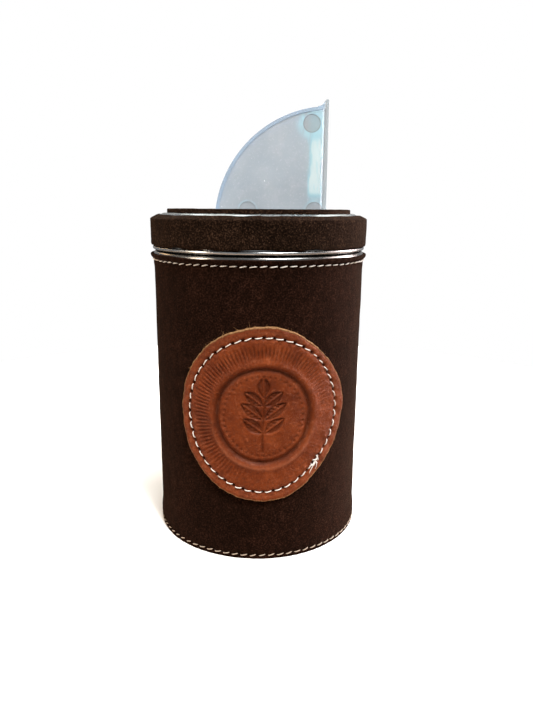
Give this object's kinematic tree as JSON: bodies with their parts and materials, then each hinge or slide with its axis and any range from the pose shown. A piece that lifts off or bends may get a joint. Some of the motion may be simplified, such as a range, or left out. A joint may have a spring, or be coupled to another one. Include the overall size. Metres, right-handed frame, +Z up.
{
  "type": "canister with pouring spout",
  "caption": "Round tin canister in a suede sleeve with a round stitched leather patch, a slip-on lid and a fold-down quarter-round pouring spout.",
  "frame": {"origin": "centre of the base, on the surface that the canister stands on", "axes": "+Z up the can's axis; the open spout pours towards +X; the leather patch faces -Y"},
  "size_m": [0.1072, 0.1093, 0.2111],
  "materials": {
    "tinplate": "bright rolled tinplate",
    "suede": "brushed suede nap",
    "sole_leather": "smooth vegetable-tanned",
    "patch_leather": "waxed full grain, pressed pattern",
    "thread": "waxed twisted thread",
    "clear_plastic": "translucent moulded"
  },
  "bodies": {
    "canister": {"can_body": "tinplate", "can_base": "tinplate", "base_disc": "sole_leather", "sleeve": "suede", "patch": "patch_leather", "stitching_top": "thread", "stitching_bottom": "thread", "stitching_back": "thread", "stitching_patch": "thread"},
    "lid": {"lid_shell": "tinplate", "lid_band": "suede", "lid_disc": "suede", "spout_frame": "clear_plastic"},
    "spout": {"spout_front_half": "clear_plastic", "spout_rear_half": "clear_plastic"}
  },
  "joints": [
    {"name": "lid_lift", "type": "slide", "parent": "canister", "child": "lid", "axis": [0, 0, 1], "range_m": [0, 0.08]},
    {"name": "spout_hinge", "type": "hinge", "parent": "lid", "child": "spout", "pos_m": [0.0328, 0, 0.1542], "axis": [0, -1, 0], "range_deg": [0, 90]}
  ]
}
